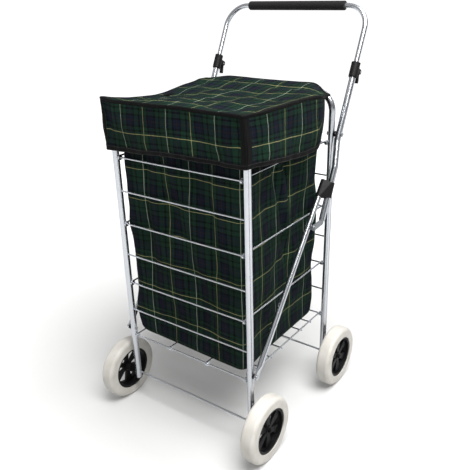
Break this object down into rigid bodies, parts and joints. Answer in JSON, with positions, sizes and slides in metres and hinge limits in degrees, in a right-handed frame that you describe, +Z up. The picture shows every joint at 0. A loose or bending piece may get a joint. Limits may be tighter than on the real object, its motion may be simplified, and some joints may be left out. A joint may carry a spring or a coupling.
{
  "type": "folding shopping trolley",
  "caption": "Upright folding shopping trolley with a tube and wire cage on wheels, a telescopic handle on braces, and a tartan cloth bag under a flap lid.",
  "frame": {"origin": "on the floor, under the centre of the whole object's box", "axes": "+X to the right seen from the front, +Y from the front towards the handle, +Z up"},
  "size_m": [0.472, 0.5756, 0.9729],
  "materials": {
    "chrome": "polished",
    "zinc": "satin",
    "black_plastic": "satin",
    "foam": "matte",
    "tyre": "satin",
    "tartan_cloth": "matte"
  },
  "bodies": {
    "rear_frame": {"rear_tube_frame": "chrome", "rear_wires": "chrome", "rear_axle": "zinc", "rear_axle_spacers": "black_plastic", "rear_axle_caps": "black_plastic", "rear_post_plugs": "black_plastic", "handle_pivot_rivets": "zinc", "handle_pivot_spacers": "black_plastic", "bag": "tartan_cloth"},
    "floor_grid": {"base_long_wires": "chrome", "base_cross_wires": "chrome"},
    "front_frame": {"front_post_left": "chrome", "front_post_right": "chrome", "front_wires": "chrome", "front_axle": "zinc", "front_axle_spacers": "black_plastic", "front_axle_caps": "black_plastic", "front_post_plugs": "black_plastic", "front_post_top_caps": "black_plastic", "brace_pivot_spacers": "black_plastic", "brace_pivot_rivets": "zinc"},
    "upper_rails": {"side_rail_upper_left": "chrome", "side_rail_upper_right": "chrome"},
    "middle_rails": {"side_rail_middle_left": "chrome", "side_rail_middle_right": "chrome"},
    "lower_rails": {"side_rail_lower_left": "chrome", "side_rail_lower_right": "chrome"},
    "braces": {"brace_left": "chrome", "brace_right": "chrome", "brace_end_plugs": "black_plastic"},
    "sleeve_left": {"lock_sleeve_left": "black_plastic"},
    "sleeve_right": {"lock_sleeve_right": "black_plastic"},
    "handle": {"handle_tube_left": "chrome", "handle_tube_right": "chrome", "link_plate_left": "zinc", "link_plate_right": "zinc", "link_rivets": "zinc", "clamp_collar_left": "black_plastic", "clamp_collar_right": "black_plastic", "clamp_pins": "zinc"},
    "lever_left": {"clamp_lever_left": "black_plastic"},
    "lever_right": {"clamp_lever_right": "black_plastic"},
    "bow": {"handle_bow": "chrome", "bow_glides": "black_plastic", "handle_grip": "foam"},
    "lid_flap": {"lid": "tartan_cloth"},
    "wheel_front_left": {"tyre_front_left": "tyre", "hub_front_left": "black_plastic"},
    "wheel_front_right": {"tyre_front_right": "tyre", "hub_front_right": "black_plastic"},
    "wheel_rear_left": {"tyre_rear_left": "tyre", "hub_rear_left": "black_plastic"},
    "wheel_rear_right": {"tyre_rear_right": "tyre", "hub_rear_right": "black_plastic"}
  },
  "joints": [
    {"name": "fold", "type": "hinge", "parent": "rear_frame", "child": "floor_grid", "pos_m": [0, 0.14221, 0.194], "axis": [-1, 0, 0], "range_deg": [0, 80], "deforming": ["bag", "lid"]},
    {"name": "front_frame_hinge", "type": "hinge", "parent": "floor_grid", "child": "front_frame", "pos_m": [0, -0.20779, 0.194], "axis": [1, 0, 0], "range_deg": [0, 80.5]},
    {"name": "upper_rail_hinge", "type": "hinge", "parent": "rear_frame", "child": "upper_rails", "pos_m": [0, 0.14221, 0.662], "axis": [-1, 0, 0], "range_deg": [0, 80.5]},
    {"name": "middle_rail_hinge", "type": "hinge", "parent": "rear_frame", "child": "middle_rails", "pos_m": [0, 0.14221, 0.501], "axis": [-1, 0, 0], "range_deg": [0, 80.5]},
    {"name": "lower_rail_hinge", "type": "hinge", "parent": "rear_frame", "child": "lower_rails", "pos_m": [0, 0.14221, 0.345], "axis": [-1, 0, 0], "range_deg": [0, 80.5]},
    {"name": "handle_hinge", "type": "hinge", "parent": "rear_frame", "child": "handle", "pos_m": [0, 0.14221, 0.686], "axis": [-1, 0, 0], "range_deg": [0, 141.75]},
    {"name": "brace_hinge", "type": "hinge", "parent": "front_frame", "child": "braces", "pos_m": [0, -0.20779, 0.212], "axis": [1, 0, 0], "range_deg": [0, 31.64]},
    {"name": "sleeve_slide_left", "type": "slide", "parent": "braces", "child": "sleeve_left", "axis": [0, 0.6154, 0.7882], "range_m": [-0.035, 0]},
    {"name": "sleeve_slide_right", "type": "slide", "parent": "braces", "child": "sleeve_right", "axis": [0, 0.6154, 0.7882], "range_m": [-0.035, 0]},
    {"name": "handle_height", "type": "slide", "parent": "handle", "child": "bow", "axis": [0, 0.4384, 0.8988], "range_m": [-0.05, 0.045]},
    {"name": "clamp_left", "type": "hinge", "parent": "handle", "child": "lever_left", "pos_m": [-0.1995, 0.22589, 0.81764], "axis": [1, 0, 0], "range_deg": [0, 110]},
    {"name": "clamp_right", "type": "hinge", "parent": "handle", "child": "lever_right", "pos_m": [0.1995, 0.22589, 0.81764], "axis": [1, 0, 0], "range_deg": [0, 110]},
    {"name": "lid_hinge", "type": "hinge", "parent": "rear_frame", "child": "lid_flap", "pos_m": [0, 0.15421, 0.7919], "axis": [-1, 0, 0], "range_deg": [0, 120]},
    {"name": "wheel_front_left_spin", "type": "hinge", "parent": "front_frame", "child": "wheel_front_left", "pos_m": [-0.218, -0.20779, 0.08], "axis": [1, 0, 0], "continuous": true},
    {"name": "wheel_front_right_spin", "type": "hinge", "parent": "front_frame", "child": "wheel_front_right", "pos_m": [0.218, -0.20779, 0.08], "axis": [1, 0, 0], "continuous": true},
    {"name": "wheel_rear_left_spin", "type": "hinge", "parent": "rear_frame", "child": "wheel_rear_left", "pos_m": [-0.218, 0.14221, 0.08], "axis": [1, 0, 0], "continuous": true},
    {"name": "wheel_rear_right_spin", "type": "hinge", "parent": "rear_frame", "child": "wheel_rear_right", "pos_m": [0.218, 0.14221, 0.08], "axis": [1, 0, 0], "continuous": true}
  ],
  "couplings": [
    {"joint": "front_frame_hinge", "follows": "fold", "ratio": 1},
    {"joint": "upper_rail_hinge", "follows": "fold", "ratio": 1},
    {"joint": "middle_rail_hinge", "follows": "fold", "ratio": 1},
    {"joint": "lower_rail_hinge", "follows": "fold", "ratio": 1},
    {"joint": "handle_hinge", "follows": "fold", "ratio": 1.7669},
    {"joint": "brace_hinge", "follows": "fold", "ratio": 0.39049}
  ]
}
